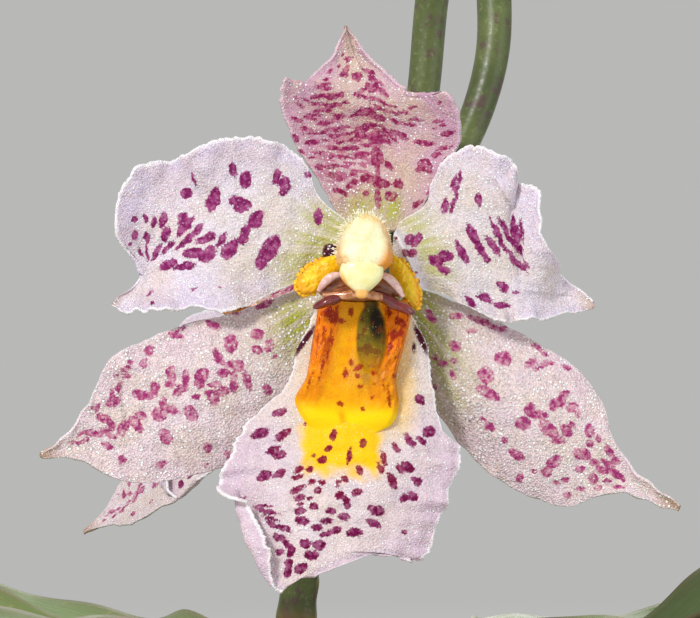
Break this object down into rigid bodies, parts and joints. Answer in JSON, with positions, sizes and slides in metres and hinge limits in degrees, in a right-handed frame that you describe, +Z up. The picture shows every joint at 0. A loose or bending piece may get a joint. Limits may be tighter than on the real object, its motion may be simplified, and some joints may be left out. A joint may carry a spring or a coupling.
{
  "type": "potted trichocentrum pulchrum",
  "caption": "Small epiphytic orchid with spotted white flowers on arching stalks and leathery leaves, growing in bark in a plain round clay pot.",
  "frame": {"origin": "middle of the pot's underside, on the clay", "axes": "+Z up along the pot's axis; the first flower faces -Y; +X to the right of someone looking at it"},
  "size_m": [0.1234, 0.1036, 0.1396],
  "materials": {
    "terracotta": "unglazed matte fired clay",
    "bark": "rough fir bark chips",
    "pseudobulb": "ridged green-brown with papery sheaths",
    "root": "silvery green velamen, matte",
    "leaf": "leathery, semi-gloss",
    "stalk": "smooth olive green, satin",
    "tepal": "white to lilac with magenta spots, crystalline sheen",
    "lip": "white with purple spots, crystalline sheen",
    "callus": "waxy yellow to orange, red streaks",
    "column": "pale cream yellow, waxy",
    "column_wing": "golden yellow with dark red teeth",
    "stigma": "glossy maroon"
  },
  "bodies": {
    "root": {"pot": "terracotta", "bark_medium": "bark", "rhizome_and_pseudobulbs": "pseudobulb", "root_1": "root", "root_2": "root", "root_3": "root", "root_4": "root", "root_5": "root", "root_6": "root", "leaf_1": "leaf", "leaf_2": "leaf", "leaf_3": "leaf", "leaf_4": "leaf", "leaf_5": "leaf", "leaf_6": "leaf", "leaf_7": "leaf", "stalk_1": "stalk", "stalk_2": "stalk", "flower_1_dorsal_sepal": "tepal", "flower_1_petal_left": "tepal", "flower_1_petal_right": "tepal", "flower_1_lateral_sepal_left": "tepal", "flower_1_lateral_sepal_right": "tepal", "flower_1_lip": "lip", "flower_1_lip_callus": "callus", "flower_1_column": "column", "flower_1_anther_cap": "column", "flower_1_stigma": "stigma", "flower_1_column_wing_left": "column_wing", "flower_1_column_wing_right": "column_wing", "flower_2_dorsal_sepal": "tepal", "flower_2_petal_left": "tepal", "flower_2_petal_right": "tepal", "flower_2_lateral_sepal_left": "tepal", "flower_2_lateral_sepal_right": "tepal", "flower_2_lip": "lip", "flower_2_lip_callus": "callus", "flower_2_column": "column", "flower_2_anther_cap": "column", "flower_2_stigma": "stigma", "flower_2_column_wing_left": "column_wing", "flower_2_column_wing_right": "column_wing"}
  },
  "joints": []
}
